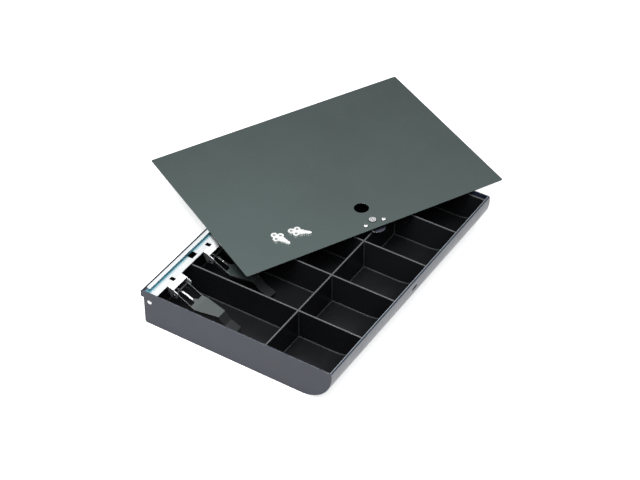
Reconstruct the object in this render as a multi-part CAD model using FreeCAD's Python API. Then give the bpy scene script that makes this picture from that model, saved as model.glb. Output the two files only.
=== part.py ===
"""Cash tray with a lift-off locking cover: five coin pockets in front and five
note pockets behind, sprung note weights, and two keys.

Millimetres, +X to the right, +Y to the rear, +Z up.  The origin is the middle of
the underside of the tray.  The cover lies askew on top of the tray.
"""
import FreeCAD, Part
import math
import os

# ---- driving dimensions ----
WIDTH = 406.4            # outside width over the end panels
DEPTH = 285.0            # outside depth, front face to rear wall
HEIGHT = 54.0            # underside to rim
SHEET = 1.0              # pan, bracket and weight sheet
LINER = 0.8              # black liner of the pockets
PANEL = 1.2              # end panel sheet
SCOOP_R = 46.0           # outside radius of the scooped pan front
LIP_R = 2.0              # outside radius of the front lip
HEEL_R = 3.0             # outside radius of the rear bottom bend
HEM_DROP = 11.0          # depth of the hooked rear hem
HEM_OUT = 4.5            # how far the hem stands out behind the rear wall
HEM_R = 2.2              # outside radius of the rear hem edge
DIVIDER = 2.4            # hemmed divider thickness
DIVIDER_TOP = 46.6       # divider and liner tops, the ledge of the closed cover
PITCH = 80.4             # pocket pitch across the tray
LONG_Y = -40.9           # divider between coin and note pockets
LAP_Z = 24.0             # height where the crossing dividers are halved

SLOT = (13.0, 5.0, 42.2)  # latch slot in the front wall: length, height, middle Z
SLOT_RELIEF = 8.0        # half width of the liner cut away behind the slot

SHELF_TOP = 50.0         # bracket shelf that carries the rear of the closed cover
SHELF_Y = 123.8          # front edge of the shelf, where the hinge tabs start
FLANGE_Y = 137.5         # front edge of the flange over the rear of the closed cover
FLANGE_BACK = 142.8      # rear edge of the flange, hooked over the pan's rear wall
FLANGE_GAP = 7.0         # flange stops this far short of each end panel
TAB_Y, TAB_TOP = 114.8, 47.4        # front edge of the sloping bracket tabs
TAB_W = 30.4
EAR_T = 1.0
PIN_Y, PIN_Z, PIN_R = 114.0, 38.0, 1.5
RIVET_Y, RIVET_Z = 133.4, 38.3

COVER_W, COVER_D, COVER_T = 400.0, 281.2, 1.0
COVER_X, COVER_Y, COVER_TURN = 131.8, 76.8, -27.56
LOCK_Y = -124.3          # lock axis, in the cover's own frame
HOLE_Y, HOLE_R = -95.6, 10.4
COVER_RIVET_X, COVER_RIVET_Y = 14.0, -130.4

X, Y, Z = FreeCAD.Vector(1, 0, 0), FreeCAD.Vector(0, 1, 0), FreeCAD.Vector(0, 0, 1)
INSIDE = WIDTH / 2 - PANEL          # inner face of the end panels
LINER_IN = (5 * PITCH - DIVIDER) / 2  # inner face of the end liners, five equal pockets
FRONT, REAR = -DEPTH / 2, DEPTH / 2
POCKETS = [PITCH * k for k in (-2, -1, 0, 1, 2)]
CROSSINGS = [PITCH * k for k in (-1.5, -0.5, 0.5, 1.5)]

os.makedirs("parts", exist_ok=True)


def vec(x, y, z):
    return FreeCAD.Vector(x, y, z)


def save(name, *solids):
    shape = solids[0] if len(solids) == 1 else Part.makeCompound(list(solids))
    shape.exportStep("parts/" + name + ".step")


def box(x0, x1, y0, y1, z0, z1):
    return Part.makeBox(x1 - x0, y1 - y0, z1 - z0, vec(x0, y0, z0))


def cylinder(radius, length, start, axis):
    return Part.makeCylinder(radius, length, start, axis)


def outline(points):
    """Face from a ring of (a, b, bend radius) corners in the XY plane."""
    count = len(points)
    corners = [vec(p[0], p[1], 0) for p in points]
    edges = []
    previous_end = None
    first_start = None
    for i in range(count):
        here = corners[i]
        back = (corners[i - 1] - here).normalize()
        ahead = (corners[(i + 1) % count] - here).normalize()
        radius = points[i][2]
        if radius:
            half = back.getAngle(ahead) / 2
            setback = radius / math.tan(half)
            start = here + back * setback
            end = here + ahead * setback
            inward = (back + ahead).normalize()
            middle = here + inward * (radius / math.sin(half) - radius)
        else:
            start = end = here
        if previous_end is None:
            first_start = start
        elif (start - previous_end).Length > 1e-6:
            edges.append(Part.makeLine(previous_end, start))
        if radius:
            edges.append(Part.Arc(start, middle, end).toShape())
        previous_end = end
    if (previous_end - first_start).Length > 1e-6:
        edges.append(Part.makeLine(previous_end, first_start))
    return Part.Face(Part.Wire(edges))


def strip(points, thickness):
    """Face of a bent sheet from (a, b, middle bend radius) points."""
    half = thickness / 2
    flat = [vec(p[0], p[1], 0) for p in points]
    left = []
    right = []
    for i, here in enumerate(flat):
        before = (here - flat[i - 1]).normalize() if i else None
        after = (flat[i + 1] - here).normalize() if i + 1 < len(flat) else None
        before = before or after
        after = after or before
        normal = vec(-before.y - after.y, before.x + after.x, 0).normalize()
        reach = half / normal.dot(vec(-after.y, after.x, 0))
        turn = before.x * after.y - before.y * after.x
        bend = points[i][2]
        side = half if turn > 0 else -half
        left.append((here.x + normal.x * reach, here.y + normal.y * reach,
                     bend - side if bend else 0))
        right.append((here.x - normal.x * reach, here.y - normal.y * reach,
                      bend + side if bend else 0))
    return outline(left + right[::-1])


def across(face, x0, x1):
    """Stand a (Y, Z) face up in the YZ plane and draw it out from x0 to x1."""
    face = face.copy()
    face.rotate(vec(0, 0, 0), vec(1, 1, 1), 120)
    face.translate(vec(x0, 0, 0))
    return face.extrude(vec(x1 - x0, 0, 0))


def upright(face, z0, z1):
    """Draw an (X, Y) face up from z0 to z1."""
    face = face.copy()
    face.translate(vec(0, 0, z0))
    return face.extrude(vec(0, 0, z1 - z0))


def slot_prism(length, height, x, z, y0, y1):
    """Round-ended slot cutter along Y."""
    radius = height / 2
    flat = length / 2 - radius
    cutter = box(x - flat, x + flat, y0, y1, z - radius, z + radius)
    for side in (-flat, flat):
        end = cylinder(radius, y1 - y0, vec(x + side, y0, z), Y)
        cutter = cutter.fuse(end)
    return cutter.removeSplitter()


def dome(radius, height, x, y, z, axis):
    """Low round rivet head, sitting on the point given."""
    ball_r = (radius * radius + height * height) / (2 * height)
    centre = vec(x, y, z) - axis * (ball_r - height)
    ball = Part.makeSphere(ball_r, centre)
    return ball.common(cylinder(radius, height, vec(x, y, z), axis))


# ---- tray shell ----
pan_line = [
    (FRONT + LIP_R + 0.5, HEIGHT - SHEET / 2, 0),
    (FRONT + SHEET / 2, HEIGHT - SHEET / 2, LIP_R - SHEET / 2),
    (FRONT + SHEET / 2, SHEET / 2, SCOOP_R - SHEET / 2),
    (REAR - SHEET / 2, SHEET / 2, HEEL_R - SHEET / 2),
    (REAR - SHEET / 2, HEIGHT - 1.5 * SHEET, 1.0),
    (REAR + HEM_OUT - SHEET / 2, HEIGHT - 1.5 * SHEET, HEM_R - SHEET / 2),
    (REAR + HEM_OUT - SHEET / 2, HEIGHT - HEM_DROP, 0),
]
pan = across(strip(pan_line, SHEET), -INSIDE, INSIDE)
pan = pan.cut(slot_prism(SLOT[0], SLOT[1], 0, SLOT[2], FRONT - 1, FRONT + 3))
save("tray_pan", pan)

panel_ring = [
    (FRONT, HEIGHT, LIP_R),
    (FRONT, 0, SCOOP_R),
    (REAR, 0, HEEL_R),
    (REAR, HEIGHT - HEM_DROP, 0),
    (REAR + HEM_OUT, HEIGHT - HEM_DROP, 1.0),
    (REAR + HEM_OUT, HEIGHT, HEM_R),
]
for name, x0 in (("left", -WIDTH / 2), ("right", INSIDE)):
    panel = across(outline(panel_ring), x0, x0 + PANEL)
    hole = cylinder(1.6, PANEL + 2, vec(x0 - 1, RIVET_Y, RIVET_Z), X)
    save(name + "_end_panel", panel.cut(hole))

# ---- black pocket liner and the partitions standing in it ----
SKIN = SHEET + LINER
skin_ring = [
    (FRONT + SHEET, SCOOP_R, 0),
    (FRONT + SHEET, SHEET, SCOOP_R - SHEET),
    (REAR - SHEET, SHEET, HEEL_R - SHEET),
    (REAR - SHEET, DIVIDER_TOP - SHEET, 0),
]
cavity_ring = [
    (FRONT + SKIN, DIVIDER_TOP, 0),
    (FRONT + SKIN, SKIN, SCOOP_R - SKIN),
    (REAR - SKIN, SKIN, HEEL_R - SKIN),
    (REAR - SKIN, DIVIDER_TOP, 0),
]
cavity = across(outline(cavity_ring), -INSIDE, INSIDE)
skin = across(outline(skin_ring), -INSIDE, INSIDE).cut(cavity)
relief = box(-SLOT_RELIEF, SLOT_RELIEF, FRONT, FRONT + 5, SLOT[2] - SLOT[1], HEIGHT)
save("pocket_liner", skin.cut(relief))

for name, side in (("left", -1), ("right", 1)):
    wall = sorted((side * LINER_IN, side * (LINER_IN + SHEET)))
    ledge = sorted((side * LINER_IN, side * INSIDE))
    liner = box(wall[0], wall[1], FRONT, REAR, 0, DIVIDER_TOP)
    ledge_bar = box(ledge[0], ledge[1], FRONT, REAR, DIVIDER_TOP - SHEET, DIVIDER_TOP)
    liner = liner.fuse(ledge_bar).common(cavity).removeSplitter()
    liner = liner.cut(box(ledge[0], ledge[1], SHELF_Y - 1, REAR, RIVET_Z - 6, HEIGHT))
    corner = [e for e in liner.Edges
              if abs(e.BoundBox.YLength) > 200
              and abs(e.CenterOfMass.z - DIVIDER_TOP) < 0.01
              and abs(abs(e.CenterOfMass.x) - LINER_IN) < 0.01]
    save(name + "_end_liner", liner.makeFillet(0.8, corner))


def round_top(plate, along):
    """Roll the two long top edges of a divider plate."""
    edges = []
    for edge in plate.Edges:
        size = edge.BoundBox
        length = size.XLength if along == "X" else size.YLength
        if abs(edge.CenterOfMass.z - DIVIDER_TOP) < 0.01 and length > 50:
            edges.append(edge)
    return plate.makeFillet(DIVIDER / 2 - 0.2, edges)


half_wall = DIVIDER / 2
long_divider = box(-LINER_IN, LINER_IN, LONG_Y - half_wall, LONG_Y + half_wall,
                   SKIN, DIVIDER_TOP)
long_divider = round_top(long_divider, "X")
for x in CROSSINGS:
    lap = box(x - half_wall, x + half_wall, LONG_Y - 5, LONG_Y + 5, LAP_Z, HEIGHT)
    long_divider = long_divider.cut(lap)
save("long_divider", long_divider)

for number, x in enumerate(CROSSINGS, 1):
    plate = box(x - half_wall, x + half_wall, FRONT, REAR, 0, DIVIDER_TOP).common(cavity)
    plate = round_top(plate, "Y")
    plate = plate.cut(box(x - 5, x + 5, LONG_Y - half_wall, LONG_Y + half_wall, 0, LAP_Z))
    save("cross_divider_%d" % number, plate)

# ---- plated bracket along the rear wall, one hinge tab per note pocket ----
shelf_z = SHELF_TOP - SHEET / 2
web_y = REAR - 1.5 * SHEET
bracket_line = [
    (FLANGE_BACK, HEIGHT - SHEET / 2, 0),
    (FLANGE_Y + SHEET / 2, HEIGHT - SHEET / 2, SHEET / 2),
    (FLANGE_Y + SHEET / 2, HEIGHT - 1.6 * SHEET, SHEET / 2),
    (web_y, HEIGHT - 1.6 * SHEET, 0.8),
    (web_y, shelf_z, 1.2),
    (SHELF_Y, shelf_z, 0),
]
bracket = across(strip(bracket_line, SHEET), -INSIDE, INSIDE)
for side in (-1, 1):
    low, high = sorted((side * (INSIDE - FLANGE_GAP), side * (INSIDE + 1)))
    bracket = bracket.cut(box(low, high, FLANGE_Y - 1, REAR + HEM_OUT, SHELF_TOP + 1.6, HEIGHT + 1))

tab_line = [
    (SHELF_Y + 2.0, shelf_z, 0),
    (SHELF_Y, shelf_z, 0),
    (TAB_Y, TAB_TOP - SHEET / 2, 0),
]
ear_ring = [
    (SHELF_Y + 1.0, SHELF_TOP - 0.4, 0),
    (SHELF_Y, SHELF_TOP - 0.4, 0),
    (TAB_Y, TAB_TOP - 0.3, 3.0),
    (PIN_Y - 6.4, PIN_Z + 5.4, 1.2),
    (PIN_Y - 4.6, PIN_Z - 3.6, 3.0),
    (PIN_Y + 4.4, PIN_Z - 3.9, 3.0),
    (SHELF_Y + 1.0, SHELF_TOP - 4.0, 0),
]
for x in POCKETS:
    bracket = bracket.fuse(across(strip(tab_line, SHEET), x - TAB_W / 2, x + TAB_W / 2))
    for x0 in (x - TAB_W / 2, x + TAB_W / 2 - EAR_T):
        bracket = bracket.fuse(across(outline(ear_ring), x0, x0 + EAR_T))
end_ring = [
    (SHELF_Y, shelf_z, 0),
    (SHELF_Y, RIVET_Z - 5.2, 3.0),
    (REAR - 3.0, RIVET_Z - 5.2, 3.0),
    (REAR - 3.0, shelf_z, 0),
]
for x0 in (-INSIDE, INSIDE - SHEET):
    bracket = bracket.fuse(across(outline(end_ring), x0, x0 + SHEET))
bracket = bracket.removeSplitter()
for x in POCKETS:
    bracket = bracket.cut(box(x - 3.0, x + 3.0, 123.0, 130.5, SHELF_TOP - 3, SHELF_TOP + 1))
    bore = cylinder(PIN_R, TAB_W + 2, vec(x - TAB_W / 2 - 1, PIN_Y, PIN_Z), X)
    bracket = bracket.cut(bore)
for x in (-108.8, 108.8):
    bracket = bracket.cut(box(x - 6.0, x + 6.0, 128.2, 137.2, SHELF_TOP - 3, SHELF_TOP + 1))
for x in (-INSIDE - 1, INSIDE - SHEET - 1):
    bracket = bracket.cut(cylinder(1.6, 3, vec(x, RIVET_Y, RIVET_Z), X))
save("clip_bracket", bracket)

rivets = []
for side in (-1, 1):
    out = X * side
    grip = PANEL + SHEET
    shank = cylinder(1.6, grip, vec(side * (INSIDE - SHEET), RIVET_Y, RIVET_Z), out)
    head = dome(3.2, 1.3, side * WIDTH / 2, RIVET_Y, RIVET_Z, out)
    tail = dome(2.6, 0.9, side * (INSIDE - SHEET), RIVET_Y, RIVET_Z, out * -1)
    rivets.append(shank.fuse(head).fuse(tail).removeSplitter())
save("bracket_rivets", *rivets)

# ---- note weights, their pins and leaf springs ----
RAIL_HALF = 13.0         # half width over the two rails
ARM_LINE = [
    (97.0, 29.9, 0),
    (83.2, 27.1, 4.0),
    (51.2, 25.5, 1.2),
    (41.2, 15.5, 1.5),
    (25.5, 9.8, 0),
]
SHOULDER, FOLD = (14.2, 83.2), (7.5, 51.2)
PLAN = [
    (-RAIL_HALF, 90.0, 0), (-4.5, 90.0, 0), (0.0, 96.5, 1.5), (4.5, 90.0, 0), (RAIL_HALF, 90.0, 0),
    (SHOULDER[0], SHOULDER[1], 1.5), (FOLD[0], FOLD[1], 2.0), (6.6, 25.0, 2.0),
    (-6.6, 25.0, 2.0), (-FOLD[0], FOLD[1], 2.0), (-SHOULDER[0], SHOULDER[1], 1.5),
]
FLANGE_BAND = [(SHOULDER[1], 27.1, 0), (FOLD[1], 25.5, 0), (FOLD[1], 23.0, 0), (SHOULDER[1], 24.0, 0)]
RAIL = [
    (PIN_Y + 1.8, PIN_Z + 3.7, 2.6),
    (PIN_Y - 4.2, PIN_Z + 2.3, 2.5),
    (92.0, 30.4, 4.0),
    (84.0, 27.6, 0),
    (84.0, 24.2, 0),
    (93.0, 25.6, 3.0),
    (PIN_Y - 0.6, PIN_Z - 3.7, 2.6),
    (PIN_Y + 4.2, PIN_Z - 1.4, 2.4),
]


def tapered(inset):
    """Upright block between the shoulder and the fold of a weight."""
    wide, narrow = SHOULDER[0] - inset, FOLD[0] - inset
    ring = [(wide, SHOULDER[1], 0), (narrow, FOLD[1], 0), (-narrow, FOLD[1], 0), (-wide, SHOULDER[1], 0)]
    return upright(outline(ring), 0, HEIGHT)


def note_weight(x):
    sheet = across(strip(ARM_LINE, SHEET), -SHOULDER[0] - 1, SHOULDER[0] + 1)
    arm = sheet.common(upright(outline(PLAN), 0, HEIGHT))
    band = across(outline(FLANGE_BAND), -SHOULDER[0] - 1, SHOULDER[0] + 1)
    arm = arm.fuse(band.common(tapered(0.05).cut(tapered(0.95))))
    for x0 in (-RAIL_HALF, RAIL_HALF - SHEET):
        arm = arm.fuse(across(outline(RAIL), x0, x0 + SHEET))
    arm = arm.removeSplitter()
    bore = cylinder(PIN_R + 0.06, 40, vec(-20, PIN_Y, PIN_Z), X)
    arm = arm.cut(bore)
    arm.translate(vec(x, 0, 0))
    return arm


def hinge_pin(x):
    reach = TAB_W / 2
    pin = cylinder(PIN_R, TAB_W, vec(x - reach, PIN_Y, PIN_Z), X)
    head = dome(2.4, 0.9, x - reach, PIN_Y, PIN_Z, X * -1)
    tail = dome(2.1, 0.7, x + reach, PIN_Y, PIN_Z, X)
    return pin.fuse(head).fuse(tail).removeSplitter()


LEAF_W, LEAF_T = 2.6, 0.5
LEAF_LINE = [
    (122.2, 48.3, 0),
    (122.2, 37.0, 2.0),
    (105.5, 32.6, 6.0),
    (94.0, 27.9, 0),
]


def leaf_spring(x):
    """Flat strip hanging from the tab, under the pin, pressing below the weight."""
    return across(strip(LEAF_LINE, LEAF_T), x - LEAF_W / 2, x + LEAF_W / 2)


for number, x in enumerate(POCKETS, 1):
    save("bill_weight_%d" % number, note_weight(x))
    save("hinge_pin_%d" % number, hinge_pin(x))
    save("weight_spring_%d" % number, leaf_spring(x))


# ---- cover and lock, drawn square about the cover's own middle ----
def place(shape):
    shape = shape.copy()
    shape.rotate(vec(0, 0, 0), Z, COVER_TURN)
    shape.translate(vec(COVER_X, COVER_Y, HEIGHT))
    return shape


plate_ring = [
    (-COVER_W / 2, -COVER_D / 2, 2.5), (COVER_W / 2, -COVER_D / 2, 2.5),
    (COVER_W / 2, COVER_D / 2, 2.5), (-COVER_W / 2, COVER_D / 2, 2.5),
]
cover = upright(outline(plate_ring), 0, COVER_T)
cover = cover.cut(cylinder(HOLE_R, 4, vec(0, HOLE_Y, -1), Z))
cover = cover.cut(cylinder(5.2, 4, vec(0, LOCK_Y, -1), Z))
for x in (-COVER_RIVET_X, COVER_RIVET_X):
    cover = cover.cut(cylinder(1.6, 4, vec(x, COVER_RIVET_Y, -1), Z))
save("cover_plate", place(cover))

bracket_ring = [
    (-19.0, COVER_RIVET_Y - 5.5, 4.0), (19.0, COVER_RIVET_Y - 5.5, 4.0),
    (19.0, COVER_RIVET_Y + 5.5, 4.0), (9.0, LOCK_Y + 9.0, 5.0),
    (-9.0, LOCK_Y + 9.0, 5.0), (-19.0, COVER_RIVET_Y + 5.5, 4.0),
]
lock_bracket = upright(outline(bracket_ring), -1.2, 0)
lock_bracket = lock_bracket.cut(cylinder(5.2, 4, vec(0, LOCK_Y, -2), Z))
for x in (-COVER_RIVET_X, COVER_RIVET_X):
    lock_bracket = lock_bracket.cut(cylinder(1.6, 4, vec(x, COVER_RIVET_Y, -2), Z))
save("lock_bracket", place(lock_bracket))

cover_rivets = []
for x in (-COVER_RIVET_X, COVER_RIVET_X):
    shank = cylinder(1.6, COVER_T + 1.2, vec(x, COVER_RIVET_Y, -1.2), Z)
    head = dome(3.6, 1.4, x, COVER_RIVET_Y, COVER_T, Z)
    tail = dome(2.6, 0.9, x, COVER_RIVET_Y, -1.2, Z * -1)
    cover_rivets.append(place(shank.fuse(head).fuse(tail).removeSplitter()))
save("cover_rivets", *cover_rivets)

case = cylinder(5.2, COVER_T + 2.2, vec(0, LOCK_Y, -2.2), Z)
case_rim = Part.makeCone(6.0, 5.4, 0.8, vec(0, LOCK_Y, COVER_T), Z)
case = case.fuse(case_rim).removeSplitter()
case = case.cut(cylinder(3.66, 8, vec(0, LOCK_Y, -4), Z))
save("lock_case", place(case))

plug = cylinder(3.6, 4.2, vec(0, LOCK_Y, -2.4), Z)
plug = plug.fuse(box(-1.9, 1.9, LOCK_Y - 1.9, LOCK_Y + 1.9, -4.1, -2.4)).removeSplitter()
plug = plug.cut(box(-0.6, 0.6, LOCK_Y - 2.7, LOCK_Y + 2.7, -1.4, 3))
plug = plug.cut(cylinder(1.2, 2.4, vec(0, LOCK_Y, -4.2), Z))
save("lock_plug", place(plug))

CAM_TIP = -12.0          # middle of the round tongue, ahead of the lock axis
cam = cylinder(11.5, 1.5, vec(0, LOCK_Y + CAM_TIP, -4.1), Z)
neck = upright(outline([
    (-11.5, LOCK_Y + CAM_TIP, 0), (11.5, LOCK_Y + CAM_TIP, 0),
    (6.5, LOCK_Y + 1.0, 3.0), (6.0, LOCK_Y + 6.5, 4.0),
    (-6.0, LOCK_Y + 6.5, 4.0), (-6.5, LOCK_Y + 1.0, 3.0),
]), -4.1, -2.6)
cam = cam.fuse(neck).removeSplitter()
cam = cam.cut(box(-1.9, 1.9, LOCK_Y - 1.9, LOCK_Y + 1.9, -5, -2))
save("lock_cam", place(cam))

screw = cylinder(1.2, 1.8, vec(0, LOCK_Y, -4.1), Z)
screw_head = Part.makeCone(2.6, 3.2, 1.5, vec(0, LOCK_Y, -5.6), Z)
screw = screw.fuse(screw_head).removeSplitter()
screw = screw.cut(box(-4, 4, LOCK_Y - 0.4, LOCK_Y + 0.4, -6, -4.9))
save("cam_screw", place(screw))

# ---- keys lying on the cover ----
KEY_T = 2.0
BLADE = [
    (3.0, -4.6, 0), (11.0, -4.6, 0), (11.8, -3.4, 0), (13.6, -3.4, 0), (14.6, -2.2, 0),
    (15.6, -3.2, 0), (16.6, -3.2, 0), (17.4, -1.6, 0), (18.2, -3.0, 0), (19.6, -3.0, 0),
    (20.4, -1.6, 0), (22.2, -1.6, 0.6), (22.2, 1.6, 0.6), (20.4, 1.6, 0), (19.6, 3.0, 0),
    (18.2, 3.0, 0), (17.4, 1.8, 0), (16.4, 3.4, 0), (11.8, 3.4, 0), (11.0, 4.6, 0),
    (3.0, 4.6, 0),
]
LOBES = [(-4.9, 0.0), (2.2, -4.5), (2.2, 4.5)]
LOBE_R, LOBE_HOLE_R = 4.6, 1.8


def key(x, y, turn):
    body = upright(outline(BLADE), 0, KEY_T)
    body = body.fuse(cylinder(4.6, KEY_T, vec(0, 0, 0), Z))
    for a, b in LOBES:
        body = body.fuse(cylinder(LOBE_R, KEY_T, vec(a, b, 0), Z))
    body = body.removeSplitter()
    for a, b in LOBES:
        body = body.cut(cylinder(LOBE_HOLE_R, KEY_T + 2, vec(a, b, -1), Z))
    body = body.cut(box(10.5, 25, -0.5, 0.5, KEY_T - 0.6, KEY_T + 1))
    body.rotate(vec(0, 0, 0), Z, turn)
    body.translate(vec(x, y, COVER_T))
    return place(body)


save("key_1", key(-128.5, -92.4, -69.1))
save("key_2", key(-102.4, -94.6, -37.3))
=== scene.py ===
"""Looks of the cash tray: studio, painted steel, black pockets, plated hardware."""

import math

import bpy
import bmesh
from mathutils import Matrix, Vector


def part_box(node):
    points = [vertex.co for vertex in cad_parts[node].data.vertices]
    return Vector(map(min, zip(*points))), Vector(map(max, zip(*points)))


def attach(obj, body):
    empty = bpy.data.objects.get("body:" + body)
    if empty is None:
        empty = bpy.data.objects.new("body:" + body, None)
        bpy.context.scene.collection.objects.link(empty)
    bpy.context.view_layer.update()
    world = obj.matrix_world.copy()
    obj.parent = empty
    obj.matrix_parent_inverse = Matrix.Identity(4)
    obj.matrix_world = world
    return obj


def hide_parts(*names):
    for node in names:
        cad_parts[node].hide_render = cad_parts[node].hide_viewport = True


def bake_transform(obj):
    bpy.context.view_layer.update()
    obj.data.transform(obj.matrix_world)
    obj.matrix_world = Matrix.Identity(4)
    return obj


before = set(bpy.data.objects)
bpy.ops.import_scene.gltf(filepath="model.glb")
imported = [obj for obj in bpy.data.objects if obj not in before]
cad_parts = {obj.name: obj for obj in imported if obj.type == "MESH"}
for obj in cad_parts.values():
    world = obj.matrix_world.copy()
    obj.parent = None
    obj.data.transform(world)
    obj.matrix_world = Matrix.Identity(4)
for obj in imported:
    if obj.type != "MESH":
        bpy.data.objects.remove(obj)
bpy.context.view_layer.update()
MM = 0.001

# Where the camera stands: degrees round from the front and up, metres away.
CAMERA_AZ, CAMERA_EL = -57.645, 40.62
CAMERA_TARGET, CAMERA_AWAY = (0.0310, 0.0224, 0.0250), 2.462
CAMERA_LENS = 102.79

# Sky from the horizon to overhead: height of the direction, brightness.
SKY = ((0.10, 0.10), (0.42, 0.16), (0.58, 0.22), (0.70, 0.73), (0.82, 1.0))
SKY_STRENGTH = 1.4
FLOOR_HALF, FLOOR_DROP = 6.0, 0.2 * MM
FLOOR_TONE, FLOOR_GLOW = 0.82, 0.62

# Finish details: sizes of rubbed edges and grain, and where each painted highlight and painted
# shade starts and stops.
ENAMEL_EDGE, MOULDED_EDGE, PLATED_EDGE = 0.7 * MM, 0.9 * MM, 0.5 * MM
ENAMEL_PEEL, MOULDED_GRAIN, PLATED_GRAIN = 0.010 * MM, 0.008 * MM, 0.010 * MM
LIP_HIGHLIGHT_IN, LIP_HIGHLIGHT_TONE = 2.5 * MM, (0.30, 0.33, 0.36)
RIM_HIGHLIGHT_TONE = (0.085, 0.09, 0.092)
FLANGE_SHADE_FROM_Y, FLANGE_SHADE_FADE, FLANGE_SHADE_TONE = 132.0 * MM, 5.0 * MM, (0.16, 0.42, 0.50)
SHELF_FLUSH_Z, SHELF_CLEAR_Z = 51.2 * MM, 52.2 * MM
HEM_BACK_Y, HEM_LOW_Z = 142.8 * MM, 48.0 * MM
WEIGHT_DROP_Y, FLAT_ENOUGH = 50.5 * MM, 0.5
DIMPLE, RIM_SHADE_SPAN, DIMPLE_SHADE_TONE = (0.26, 0.36), (0.78, 0.84), (0.03, 0.035, 0.04)

# Pocket corners and leaf springs.
COVE_R, COVE_SINK, COVE_STEPS = 1.2 * MM, 0.04 * MM, 6
COVE_TOP_GAP = 0.9 * MM
SCOOP_R, SCOOP_ARC, SCOOP_STEPS = 44.2 * MM, 80, 16
LEAF_HALF_T = 0.25 * MM
KNEE_UP, WAIST_IN, WAIST_UP = 9.2 * MM, 16.9 * MM, 5.2 * MM
KNEE_R, WAIST_R = 2.0 * MM, 6.0 * MM
STRAIGHT_STEPS, BEND_STEPS, TIP_STEPS = 6, 8, 8

AX, AY, AZ = Vector((1, 0, 0)), Vector((0, 1, 0)), Vector((0, 0, 1))


# ---------------------------------------------------------------- camera
def aim_camera():
    """Stands in front and to the left, looking down forty degrees."""
    az, el = math.radians(CAMERA_AZ), math.radians(CAMERA_EL)
    back = Vector((math.sin(az) * math.cos(el), -math.cos(az) * math.cos(el), math.sin(el)))
    right = Vector((0, 0, 1)).cross(back).normalized()
    up = back.cross(right)
    data = bpy.data.cameras.new("camera")
    data.lens = CAMERA_LENS
    data.sensor_width = 36.0
    data.clip_end = 50.0
    camera = bpy.data.objects.new("camera", data)
    bpy.context.scene.collection.objects.link(camera)
    turn = Matrix((right, up, back)).transposed().to_4x4()
    camera.matrix_world = Matrix.Translation(Vector(CAMERA_TARGET) + back * CAMERA_AWAY) @ turn
    bpy.context.scene.camera = camera


# ---------------------------------------------------------------- studio
def area_light(name, place, look_at, side, power):
    data = bpy.data.lights.new(name, "AREA")
    data.shape = "RECTANGLE"
    data.size, data.size_y = side, side
    data.energy = power
    light = bpy.data.objects.new(name, data)
    bpy.context.scene.collection.objects.link(light)
    light.location = place
    light.rotation_euler = (Vector(look_at) - Vector(place)).to_track_quat("-Z", "Y").to_euler()


def sky():
    """White overhead, dark towards the horizon and below it."""
    world = bpy.data.worlds.new("studio")
    bpy.context.scene.world = world
    world.use_nodes = True
    tree = world.node_tree
    direction = tree.nodes.new("ShaderNodeTexCoord").outputs["Generated"]
    split = tree.nodes.new("ShaderNodeSeparateXYZ")
    tree.links.new(direction, split.inputs["Vector"])
    ramp = tree.nodes.new("ShaderNodeValToRGB")
    ramp.color_ramp.elements[0].color = (0.08, 0.08, 0.09, 1)
    ramp.color_ramp.elements[1].color = (1.0, 1.0, 1.0, 1)
    for height, level in SKY:
        stop = ramp.color_ramp.elements.new(height)
        stop.color = (level, level, level, 1)
    tree.links.new(split.outputs["Z"], ramp.inputs["Fac"])
    background = tree.nodes["Background"]
    tree.links.new(ramp.outputs["Color"], background.inputs["Color"])
    background.inputs["Strength"].default_value = SKY_STRENGTH


def white_floor():
    """Wide white floor that glows a little, so that it renders white."""
    mesh = bpy.data.meshes.new("floor")
    half = FLOOR_HALF
    mesh.from_pydata([(-half, -half, 0), (half, -half, 0), (half, half, 0), (-half, half, 0)],
                     [], [(0, 1, 2, 3)])
    floor = bpy.data.objects.new("floor", mesh)
    bpy.context.scene.collection.objects.link(floor)
    floor.location.z = -FLOOR_DROP
    material = bpy.data.materials.new("floor_white")
    material.use_nodes = True
    shader = material.node_tree.nodes["Principled BSDF"]
    shader.inputs["Base Color"].default_value = (FLOOR_TONE, FLOOR_TONE, FLOOR_TONE, 1)
    shader.inputs["Emission Color"].default_value = (1.0, 1.0, 1.0, 1)
    shader.inputs["Emission Strength"].default_value = FLOOR_GLOW
    shader.inputs["Roughness"].default_value = 0.9
    shader.inputs["Specular IOR Level"].default_value = 0.1
    mesh.materials.append(material)


def studio():
    scene = bpy.context.scene
    scene.view_settings.view_transform = "Standard"
    scene.view_settings.look = "None"
    sky()
    area_light("key", (-1.8, -1.3, 2.4), (0, 0, 0), 1.0, 20)
    area_light("near", (-0.24, -0.02, 0.55), (-0.15, 0.03, 0.05), 0.25, 3.5)
    white_floor()


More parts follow.
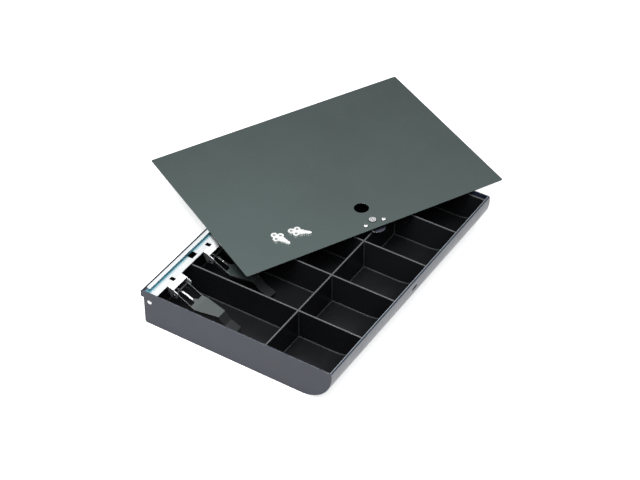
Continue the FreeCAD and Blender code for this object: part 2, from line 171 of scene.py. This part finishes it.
# ---------------------------------------------------------------- materials
class Graph:
    """Short-hand for building a node material around one Principled shader."""

    def __init__(self, name):
        self.material = bpy.data.materials.new(name)
        self.material.use_nodes = True
        self.tree = self.material.node_tree
        self.shader = self.tree.nodes["Principled BSDF"]
        self.coord = self.tree.nodes.new("ShaderNodeTexCoord").outputs["Object"]

    def node(self, kind, **settings):
        made = self.tree.nodes.new(kind)
        for key, value in settings.items():
            setattr(made, key, value)
        return made

    def link(self, source, target):
        self.tree.links.new(source, target)

    def put(self, name, value):
        self.shader.inputs[name].default_value = value

    def stretched(self, scale):
        mapping = self.node("ShaderNodeMapping")
        mapping.inputs["Scale"].default_value = scale
        self.link(self.coord, mapping.inputs["Vector"])
        return mapping.outputs["Vector"]

    def noise(self, scale, detail=3.0, rough=0.55, where=None):
        made = self.node("ShaderNodeTexNoise")
        made.inputs["Scale"].default_value = scale
        made.inputs["Detail"].default_value = detail
        made.inputs["Roughness"].default_value = rough
        self.link(where or self.coord, made.inputs["Vector"])
        return made.outputs["Fac"]

    def remap(self, source, low, high, to_low, to_high):
        made = self.node("ShaderNodeMapRange")
        for name, value in (("From Min", low), ("From Max", high),
                            ("To Min", to_low), ("To Max", to_high)):
            made.inputs[name].default_value = value
        self.link(source, made.inputs["Value"])
        return made.outputs["Result"]

    def maths(self, operation, a, b):
        made = self.node("ShaderNodeMath", operation=operation)
        for socket, value in zip(made.inputs, (a, b)):
            if isinstance(value, (int, float)):
                socket.default_value = value
            else:
                self.link(value, socket)
        return made.outputs[0]

    def mix(self, factor, a, b):
        made = self.node("ShaderNodeMix", data_type="RGBA")
        self.link(factor, made.inputs["Factor"])
        for socket, value in ((made.inputs[6], a), (made.inputs[7], b)):
            if isinstance(value, tuple):
                socket.default_value = (*value, 1)
            else:
                self.link(value, socket)
        return made.outputs[2]

    def edges(self, radius):
        """One along sharp edges and nought on flats, then the softened normal."""
        bevel = self.node("ShaderNodeBevel", samples=4)
        bevel.inputs["Radius"].default_value = radius
        flat = self.node("ShaderNodeNewGeometry")
        dot = self.node("ShaderNodeVectorMath", operation="DOT_PRODUCT")
        self.link(bevel.outputs["Normal"], dot.inputs[0])
        self.link(flat.outputs["Normal"], dot.inputs[1])
        return self.remap(dot.outputs["Value"], 0.99, 0.80, 0.0, 1.0), bevel.outputs["Normal"]

    def bump(self, height, distance, normal):
        made = self.node("ShaderNodeBump")
        made.inputs["Strength"].default_value = 1.0
        made.inputs["Distance"].default_value = distance
        self.link(height, made.inputs["Height"])
        self.link(normal, made.inputs["Normal"])
        return made.outputs["Normal"]


def enamel(name, colour, worn, roughness, ior=1.7, lip=None, top=None):
    """Sprayed enamel: orange peel, faint clouding, fine dust and rubbed edges.

    With lip and top it also has a painted highlight, a light line along the front lip, at that
    depth and height.
    """
    g = Graph(name)
    cloud = g.noise(7.0, 4.0)
    dust = g.remap(g.noise(1900.0, 2.0), 0.70, 0.80, 0.0, 0.35)
    wear_edge, soft = g.edges(ENAMEL_EDGE)
    patchy = g.remap(g.noise(120.0, 5.0, 0.7), 0.40, 0.70, 0.35, 1.0)
    wear = g.maths("MULTIPLY", wear_edge, patchy)
    tone = g.remap(cloud, 0.3, 0.7, 0.0, 1.0)
    dark = tuple(c * 0.93 for c in colour)
    light = tuple(min(1, c * 1.07) for c in colour)
    base = g.mix(tone, dark, light)
    base = g.mix(dust, base, tuple(min(1, c * 1.9 + 0.02) for c in colour))
    base = g.mix(wear, base, worn)
    # Painted highlight: a light line along the top of the front lip, where its edge would catch the
    # light.
    if lip:
        split = g.node("ShaderNodeSeparateXYZ")
        g.link(g.coord, split.inputs["Vector"])
        inner = g.remap(split.outputs["Y"], lip - 0.7 * MM, lip - 0.4 * MM, 0.0, 1.0)
        front = g.remap(split.outputs["Y"], lip + 0.4 * MM, lip + 0.5 * MM, 1.0, 0.0)
        on_top = g.remap(split.outputs["Z"], top - 2.0 * MM, top - 1.5 * MM, 0.0, 1.0)
        line = g.maths("MULTIPLY", g.maths("MULTIPLY", inner, front), on_top)
        base = g.mix(line, base, LIP_HIGHLIGHT_TONE)
    g.link(base, g.shader.inputs["Base Color"])
    smudge = g.noise(26.0, 5.0, 0.6)
    rough = g.remap(smudge, 0.3, 0.75, roughness - 0.05, roughness + 0.07)
    scratch = g.noise(55.0, 2.0, 0.5, g.stretched((1.0, 34.0, 4.0)))
    fine = g.remap(scratch, 0.68, 0.74, 0.0, 0.06)
    g.link(g.maths("ADD", rough, fine), g.shader.inputs["Roughness"])
    g.put("IOR", ior)
    peel_height = g.noise(720.0, 2.0, 0.4)
    g.link(g.bump(peel_height, ENAMEL_PEEL, soft), g.shader.inputs["Normal"])
    return g.material


def moulded(name, colour, roughness=0.27, rim=None):
    """Semi-gloss black plastic: very fine grain, flow clouding, scuffed edges, and with rim a
    painted highlight along the tops of the walls.
    """
    g = Graph(name)
    wear_edge, soft = g.edges(MOULDED_EDGE)
    tone = g.remap(g.noise(11.0, 4.0), 0.3, 0.7, 0.0, 1.0)
    base = g.mix(tone, tuple(c * 0.85 for c in colour), tuple(c * 1.2 for c in colour))
    rubbed = g.maths("MULTIPLY", wear_edge, g.remap(g.noise(90.0, 5.0, 0.7), 0.4, 0.7, 0.1, 0.6))
    base = g.mix(rubbed, base, tuple(c * 2.4 + 0.008 for c in colour))
    # Painted highlight: the tops of the walls are made lighter, as the light catches them.
    if rim:
        split = g.node("ShaderNodeSeparateXYZ")
        g.link(g.coord, split.inputs["Vector"])
        rim_highlight = g.remap(split.outputs["Z"], rim - 0.9 * MM, rim - 0.2 * MM, 0.0, 0.9)
        base = g.mix(rim_highlight, base, RIM_HIGHLIGHT_TONE)
    g.link(base, g.shader.inputs["Base Color"])
    haze = g.noise(19.0, 5.0, 0.65)
    g.link(g.remap(haze, 0.3, 0.75, roughness - 0.05, roughness + 0.09),
           g.shader.inputs["Roughness"])
    g.put("IOR", 1.4)
    g.put("Specular IOR Level", 0.3)
    g.link(g.bump(g.noise(1500.0, 2.0, 0.5), MOULDED_GRAIN, soft), g.shader.inputs["Normal"])
    return g.material


def plated(name, colour, roughness, brushed=(1.0, 26.0, 26.0), tint=(0.80, 0.86, 0.90),
           blue=False, edge_tone=(0.45, 0.46, 0.47), edge_share=0.35):
    """Bright plate over rolled steel: drawn grain, cloudy tone, dull pressed edges; with blue,
    painted blue-tinted shade on the shelf under the bracket's flange.
    """
    g = Graph(name)
    wear_edge, soft = g.edges(PLATED_EDGE)
    cloud = g.remap(g.noise(60.0, 4.0), 0.35, 0.7, 0.0, 1.0)
    base = g.mix(cloud, colour, tint)
    base = g.mix(g.maths("MULTIPLY", wear_edge, edge_share), base, edge_tone)
    # Painted shade: a blue-tinted dark band on the shelf, under the bracket's flange.
    if blue:
        split = g.node("ShaderNodeSeparateXYZ")
        g.link(g.coord, split.inputs["Vector"])
        behind = g.remap(split.outputs["Y"], FLANGE_SHADE_FROM_Y, FLANGE_SHADE_FROM_Y + FLANGE_SHADE_FADE, 0.0, 1.0)
        below = g.remap(split.outputs["Z"], SHELF_FLUSH_Z, SHELF_CLEAR_Z, 1.0, 0.0)
        base = g.mix(g.maths("MULTIPLY", behind, below), base, FLANGE_SHADE_TONE)
    g.link(base, g.shader.inputs["Base Color"])
    g.put("Metallic", 1.0)
    grain = g.noise(140.0, 3.0, 0.6, g.stretched(brushed))
    g.link(g.remap(grain, 0.3, 0.7, roughness - 0.06, roughness + 0.10),
           g.shader.inputs["Roughness"])
    g.link(g.bump(grain, PLATED_GRAIN, soft), g.shader.inputs["Normal"])
    return g.material


def sweep(frames, ring):
    """Mesh that carries a ring of (a, b) points along (origin, a axis, b axis) frames."""
    verts = [tuple(origin + a_axis * a + b_axis * b)
             for origin, a_axis, b_axis in frames for a, b in ring]
    count, steps = len(ring), len(frames)
    faces = []
    for step in range(steps - 1):
        for k in range(count):
            here, there = step * count + k, step * count + (k + 1) % count
            faces.append((here, there, there + count, here + count))
    faces.append(tuple(range(count)))
    faces.append(tuple(range((steps - 1) * count, steps * count)))
    return verts, faces


def make_object(name, parts, material):
    """One object from (verts, faces) parts, with outward normals."""
    mesh = bpy.data.meshes.new(name)
    verts, faces = [], []
    for part_verts, part_faces in parts:
        start = len(verts)
        verts += part_verts
        faces += [tuple(v + start for v in face) for face in part_faces]
    mesh.from_pydata(verts, [], faces)
    work = bmesh.new()
    work.from_mesh(mesh)
    bmesh.ops.recalc_face_normals(work, faces=work.faces)
    work.to_mesh(mesh)
    work.free()
    mesh.polygons.foreach_set("use_smooth", [True] * len(mesh.polygons))
    mesh.set_sharp_from_angle(angle=math.radians(35))
    mesh.materials.append(material)
    made = bpy.data.objects.new(name, mesh)
    bpy.context.scene.collection.objects.link(made)
    return made


def cove_ring():
    """Cross-section of a concave fillet in the corner of two walls."""
    ring = [(-COVE_SINK, -COVE_SINK), (COVE_R, -COVE_SINK)]
    for k in range(COVE_STEPS + 1):
        angle = math.radians(90 / COVE_STEPS * k)
        ring.append((COVE_R * (1 - math.sin(angle)), COVE_R * (1 - math.cos(angle))))
    ring.append((-COVE_SINK, COVE_R))
    return ring


def pocket_coves(material):
    """Rounded inside corners of the ten pockets, up the scooped fronts too."""
    long_low, long_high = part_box("long_divider")
    crosses = [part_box("cross_divider_%d" % k) for k in range(1, 5)]
    left_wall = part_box("left_end_liner")[1][0]
    right_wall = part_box("right_end_liner")[0][0]
    left_edges = [left_wall] + [c[1][0] for c in crosses]
    right_edges = [c[0][0] for c in crosses] + [right_wall]
    floor, top = long_low[2], long_high[2] - COVE_TOP_GAP
    front, back = crosses[0][0][1], crosses[0][1][1]
    ring = cove_ring()
    parts = []
    for x0, x1 in zip(left_edges, right_edges):
        for x, inward in ((x0, AX), (x1, -AX)):
            path = [(Vector((x, long_low[1], floor)), inward, AZ)]
            for k in range(SCOOP_STEPS + 1):
                angle = math.radians(SCOOP_ARC / SCOOP_STEPS * k)
                up = Vector((0, math.sin(angle), math.cos(angle)))
                centre = Vector((x, front + SCOOP_R, floor + SCOOP_R))
                path.append((centre - up * SCOOP_R, inward, up))
            parts.append(sweep(path, ring))
            ends = [(Vector((x, y, floor)), inward, AZ) for y in (long_high[1], back)]
            parts.append(sweep(ends, ring))
            for y, ahead in ((long_low[1], -AY), (long_high[1], AY), (back, -AY)):
                ends = [(Vector((x, y, z)), inward, ahead) for z in (floor, top)]
                parts.append(sweep(ends, ring))
        for y, ahead in ((long_low[1], -AY), (long_high[1], AY), (back, -AY)):
            ends = [(Vector((x, y, floor)), ahead, AZ) for x in (x0, x1)]
            parts.append(sweep(ends, ring))
    made = make_object("pocket_coves", parts, material)
    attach(made, "tray")


def leaf_springs(material):
    """Flat spring strips, bent in one fixed shape, that stand in for the spring parts."""
    for number in range(1, 6):
        name = "weight_spring_%d" % number
        low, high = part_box(name)
        middle = (low[0] + high[0]) / 2
        half_w, half_t = (high[0] - low[0]) / 2, LEAF_HALF_T
        root, knee = (high[1] - half_t, high[2]), (high[1] - half_t, low[2] + KNEE_UP)
        waist = (high[1] - WAIST_IN, low[2] + WAIST_UP)
        tip = (low[1] + half_t, low[2] + half_t)
        line = [Vector((middle, y, z)) for y, z in (root, knee, waist, tip)]
        spots = rounded(line, (KNEE_R, WAIST_R))
        frames = []
        for k, spot in enumerate(spots):
            along = (spots[min(k + 1, len(spots) - 1)] - spots[max(k - 1, 0)]).normalized()
            frames.append((spot, AX, along.cross(AX)))
        ring = [(-half_w, -half_t), (half_w, -half_t), (half_w, half_t), (-half_w, half_t)]
        made = make_object("leaf_%d" % number, [sweep(frames, ring)], material)
        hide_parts(name)
        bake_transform(made)


def rounded(line, radii):
    """Points along a polyline whose inner corners are bent to the given radii."""
    spots = [line[0]]
    for corner, radius in zip(range(1, len(line) - 1), radii):
        here = line[corner]
        back, ahead = (line[corner - 1] - here).normalized(), (line[corner + 1] - here).normalized()
        half = back.angle(ahead) / 2
        setback = radius / math.tan(half)
        start, end = here + back * setback, here + ahead * setback
        previous = spots[-1]
        spots += [previous.lerp(start, k / STRAIGHT_STEPS) for k in range(1, STRAIGHT_STEPS)]
        for k in range(BEND_STEPS + 1):
            t = k / BEND_STEPS
            spots.append(start.lerp(here, t).lerp(here.lerp(end, t), t))
    last = spots[-1]
    spots += [last.lerp(line[-1], k / TIP_STEPS) for k in range(1, TIP_STEPS + 1)]
    return spots


def dimple_shaded(name, node, spots, radius):
    """Bright metal with painted shade for a small dimple and a painted shadow ring round each (x,
    y) spot.
    """
    g = Graph(name)
    to_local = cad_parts[node].matrix_world.inverted()
    flat = g.node("ShaderNodeVectorMath", operation="MULTIPLY")
    flat.inputs[1].default_value = (1, 1, 0)
    g.link(g.coord, flat.inputs[0])
    nearest = None
    for x, y in spots:
        local = to_local @ Vector((x, y, 0))
        away = g.node("ShaderNodeVectorMath", operation="DISTANCE")
        away.inputs[1].default_value = (local.x, local.y, 0)
        g.link(flat.outputs["Vector"], away.inputs[0])
        share = g.maths("DIVIDE", away.outputs["Value"], radius)
        nearest = share if nearest is None else g.maths("MINIMUM", nearest, share)
    # Painted shade in the dimple, and a painted shadow ring near the edge of each head.
    dimple = g.remap(nearest, *DIMPLE, 1.0, 0.0)
    edge = g.remap(nearest, *RIM_SHADE_SPAN, 0.0, 1.0)
    cloud = g.remap(g.noise(300.0, 3.0), 0.35, 0.7, 0.0, 1.0)
    base = g.mix(cloud, (0.98, 0.98, 0.98), (0.95, 0.95, 0.96))
    base = g.mix(g.maths("MAXIMUM", dimple, edge), base, DIMPLE_SHADE_TONE)
    g.link(base, g.shader.inputs["Base Color"])
    g.put("Metallic", 1.0)
    g.link(g.remap(g.noise(90.0), 0.3, 0.7, 0.42, 0.52), g.shader.inputs["Roughness"])
    return g.material


def middle_of(low, high):
    """The (x, y) middle of a box."""
    return (low[0] + high[0]) / 2, (low[1] + high[1]) / 2


def rivet_heads(node):
    """Centres of the two rivets of a node, and the radius of their heads."""
    split_x = middle_of(*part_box(node))[0]
    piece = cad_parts[node]
    points = [piece.matrix_world @ vertex.co for vertex in piece.data.vertices]
    spots = []
    for side in (-1, 1):
        half = [point for point in points if (point.x - split_x) * side > 0]
        low = [min(point[axis] for point in half) for axis in (0, 1)]
        high = [max(point[axis] for point in half) for axis in (0, 1)]
        spots.append(middle_of(low, high))
    return spots, (high[0] - low[0]) / 2


def dress(names, material):
    for name in names:
        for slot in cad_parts[name].material_slots:
            slot.material = material


def repaint(names, material, chosen):
    """A second finish on the faces chosen, such as shaded folds."""
    for name in names:
        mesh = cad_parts[name].data
        mesh.materials.append(material)
        for face in mesh.polygons:
            if chosen(face):
                face.material_index = len(mesh.materials) - 1


def numbered(stem, count):
    return ["%s_%d" % (stem, k) for k in range(1, count + 1)]


# ---------------------------------------------------------------- painting
def paint_tray():
    """Grey-blue enamel on the pan, a darker copy on the end panels as painted shade, and painted
    shade, nearly black, on the back of the hem.
    """
    low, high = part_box("tray_pan")
    # Painted shade: the end panels get a darker, duller copy of the pan's enamel.
    dress(["left_end_panel", "right_end_panel"],
          enamel("end_panel_shaded_enamel", (0.008, 0.012, 0.024), (0.40, 0.43, 0.46), 0.32, ior=1.36))
    dress(["tray_pan"],
          enamel("pan_enamel", (0.018, 0.027, 0.042), (0.40, 0.43, 0.46), 0.30, ior=1.52,
                 lip=low[1] + LIP_HIGHLIGHT_IN, top=high[2]))
    # Painted shade: the back of the rear hem is made nearly black, where it is unlit.
    repaint(["tray_pan"],
            enamel("hem_shade", (0.010, 0.012, 0.016), (0.05, 0.055, 0.06), 0.45, ior=1.25),
            lambda face: face.center.y > HEM_BACK_Y and face.center.z > HEM_LOW_Z)


def paint_pockets():
    """Black liner, and black walls with rubbed edges and painted highlights along their tops, and
    rounded corners painted lighter as highlights.
    """
    black = (0.0065, 0.0068, 0.0078)
    dress(["pocket_liner"], moulded("pocket_black", black))
    dress(["left_end_liner", "right_end_liner", "long_divider"] + numbered("cross_divider", 4),
          moulded("rim_black_highlit", black, rim=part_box("long_divider")[1][2]))
    # Painted highlight: the corner fillets are a lighter tone than the pockets, as the light
    # catches them.
    pocket_coves(moulded("cove_black_highlit", (0.030, 0.034, 0.034), 0.30))


def paint_bracket():
    """Zinc bracket and lock plate with painted blue-tinted shade under its flange, dark pins,
    bright rivets and springs.
    """
    fine = (4.0, 4.0, 4.0)
    dress(["clip_bracket", "lock_bracket"],
          plated("zinc_plate", (0.96, 0.98, 0.99), 0.40, tint=(0.93, 0.97, 0.99), blue=True))
    dress(["bracket_rivets"], plated("bright_steel", (0.88, 0.88, 0.88), 0.18, fine))
    dress(numbered("hinge_pin", 5),
          plated("dark_pin", (0.10, 0.10, 0.11), 0.35, fine, (0.12, 0.12, 0.13)))
    leaf_springs(plated("spring_wire", (0.93, 0.94, 0.95), 0.30, (3.0, 3.0, 3.0),
                        (0.93, 0.94, 0.95)))


def paint_weights():
    """Enamelled note weights, with painted shade on the drop, the toe and the upright faces."""
    weights = numbered("bill_weight", 5)
    dress(weights, enamel("weight_enamel", (0.030, 0.038, 0.038), (0.25, 0.26, 0.26), 0.34))
    # Painted shade: the drop, the toe and the upright faces get a darker copy of the enamel.
    repaint(weights,
            enamel("weight_shade", (0.010, 0.011, 0.012), (0.10, 0.11, 0.11), 0.40, ior=1.3),
            lambda face: face.center.y < WEIGHT_DROP_Y or face.normal.z < FLAT_ENOUGH)


def paint_cover():
    """Green-grey cover, rivets and lock with painted dimple shade and shadow rings, bright keys and
    a dark tongue.
    """
    dress(["cover_plate"],
          enamel("cover_enamel", (0.030, 0.048, 0.046), (0.20, 0.21, 0.21), 0.26))
    spots, radius = rivet_heads("cover_rivets")
    dress(["cover_rivets"], dimple_shaded("stamped_rivet", "cover_rivets", spots, radius))
    lock_spot = middle_of(*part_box("lock_case"))
    for node, name in (("lock_case", "stamped_case"), ("lock_plug", "stamped_plug")):
        low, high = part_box(node)
        dress([node], dimple_shaded(name, node, [lock_spot], (high[0] - low[0]) / 2))
    dress(["cam_screw", "key_1", "key_2"],
          plated("nickel", (0.99, 0.99, 0.99), 0.48, (5.0, 5.0, 5.0), (0.97, 0.97, 0.97),
                 edge_tone=(0.10, 0.105, 0.11), edge_share=0.5))
    dress(["lock_cam"],
          plated("tongue_steel", (0.085, 0.09, 0.12), 0.34, (4.0, 4.0, 4.0),
                 (0.10, 0.105, 0.14)))


aim_camera()
studio()
paint_tray()
paint_pockets()
paint_bracket()
paint_weights()
paint_cover()
